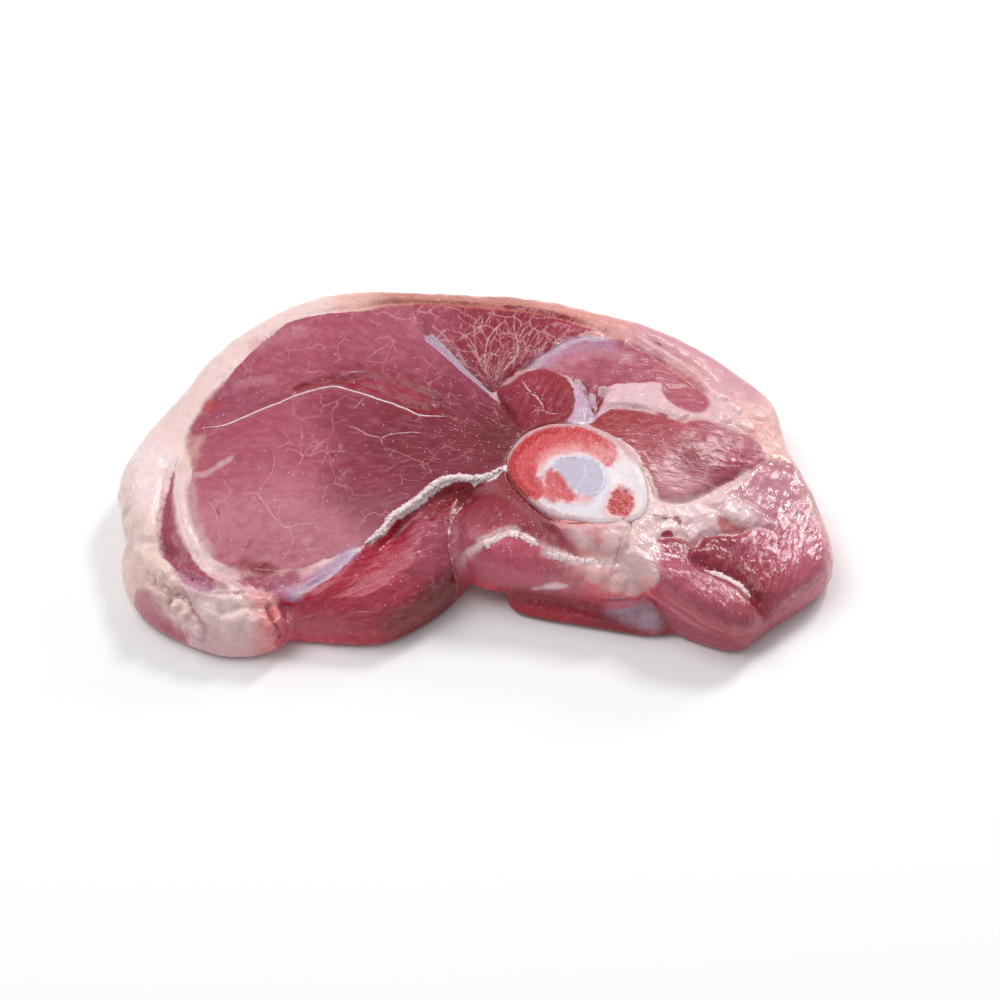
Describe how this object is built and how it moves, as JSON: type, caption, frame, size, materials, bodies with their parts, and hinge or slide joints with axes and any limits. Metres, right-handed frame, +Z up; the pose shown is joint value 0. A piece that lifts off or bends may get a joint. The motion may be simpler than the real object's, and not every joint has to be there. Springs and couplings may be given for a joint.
{
  "type": "raw pork shoulder slice",
  "caption": "Thick bone-in slice of raw pork shoulder, flat below, with plump muscles, a fat edge and a sawn round of bone.",
  "frame": {"origin": "on the flat underside, below the middle of the slice's own box", "axes": "+X along the slice towards the shank muscles, +Y towards the fat edge at its back, +Z up through the slice's thickness"},
  "size_m": [0.262, 0.1594, 0.0351],
  "materials": {
    "meat": "moist",
    "bone": "satin"
  },
  "bodies": {
    "root": {"meat": "meat", "bone": "bone"}
  },
  "joints": []
}
